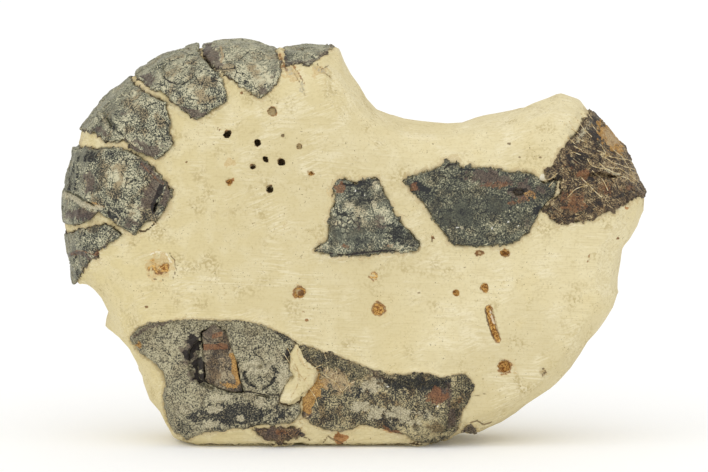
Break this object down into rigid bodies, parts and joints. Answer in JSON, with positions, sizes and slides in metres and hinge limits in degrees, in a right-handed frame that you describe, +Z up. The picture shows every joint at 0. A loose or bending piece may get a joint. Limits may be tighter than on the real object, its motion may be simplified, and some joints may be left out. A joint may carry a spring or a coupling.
{
  "type": "fossil lobster",
  "caption": "Fossil mud lobster in a cream mudstone nodule: curled abdomen plates round the rim, carapace pieces along the foot and claw segments across the prepared front.",
  "frame": {"origin": "on the flat lower face that the nodule stands on, midway between its front and back and close under the widest part", "axes": "+X from the tail side to the claw side, +Y from the prepared front to the back, +Z up"},
  "size_m": [0.1022, 0.0309, 0.0699],
  "materials": {
    "mudstone": "matte",
    "slate_shell": "satin",
    "brown_shell": "satin",
    "granular_shell": "matte",
    "rust_shell": "matte"
  },
  "bodies": {
    "root": {"stone_matrix": "mudstone", "abdomen_segment_1": "slate_shell", "abdomen_segment_2": "slate_shell", "abdomen_segment_3": "slate_shell", "abdomen_segment_4": "slate_shell", "abdomen_segment_5": "brown_shell", "abdomen_segment_6": "slate_shell", "carapace_rear": "granular_shell", "carapace_fragment": "brown_shell", "carapace_front": "granular_shell", "carapace_lower_edge": "rust_shell", "claw_arm": "slate_shell", "claw_palm": "slate_shell", "claw_tip": "rust_shell", "small_shell_fragment": "slate_shell"}
  },
  "joints": []
}
